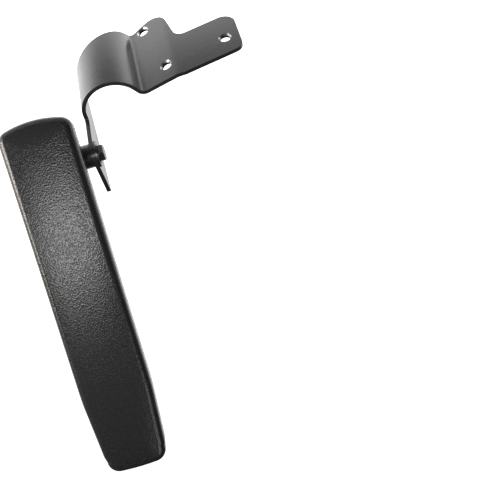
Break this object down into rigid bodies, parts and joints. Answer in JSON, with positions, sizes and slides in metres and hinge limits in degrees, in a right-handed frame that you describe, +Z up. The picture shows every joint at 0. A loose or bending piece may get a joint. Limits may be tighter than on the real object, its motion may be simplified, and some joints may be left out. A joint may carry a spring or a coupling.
{
  "type": "chair armrest pad",
  "caption": "Flip-up chair armrest: a long padded arm on a clamped pivot, with the bent steel strip that bolts it to the back of a chair.",
  "frame": {"origin": "centre of the tongue's bolt hole, on the flat front face that lies against the chair's backrest", "axes": "+X from the pad towards the middle of the chair, -Y forward, +Z up. The axis of the tongue's bolt hole is Y, and the pad's pivot axis is parallel to X. At rest the pad stands 45 degrees above level, as in the source picture"},
  "size_m": [0.2109, 0.2277, 0.3301],
  "materials": {
    "powder_coat": "satin",
    "black_sleeve": "satin",
    "bush_plastic": "matte",
    "zinc_steel": "satin",
    "dark_steel": "satin",
    "spring_steel": "satin",
    "nylon": "satin",
    "plated_insert": "satin",
    "plywood": "matte",
    "pad_skin": "matte"
  },
  "bodies": {
    "strip": {"mounting_strip": "powder_coat", "pivot_bush": "bush_plastic", "stop_pin": "zinc_steel"},
    "pad": {"flat_washer": "dark_steel", "spring_washer": "spring_steel", "pivot_bolt": "dark_steel", "spacer_sleeve": "black_sleeve", "pad_bracket": "powder_coat", "nut_washer": "zinc_steel", "pivot_locknut": "zinc_steel", "locknut_collar": "nylon", "pad_screws": "dark_steel", "screw_lock_washers": "spring_steel", "threaded_inserts": "plated_insert", "insert_board": "plywood", "pad_cushion": "pad_skin"}
  },
  "joints": [
    {"name": "pad_pivot", "type": "hinge", "parent": "strip", "child": "pad", "pos_m": [-0.13385, -0.02905, 0.061], "axis": [1, 0, 0], "range_deg": [-45, 45]}
  ]
}
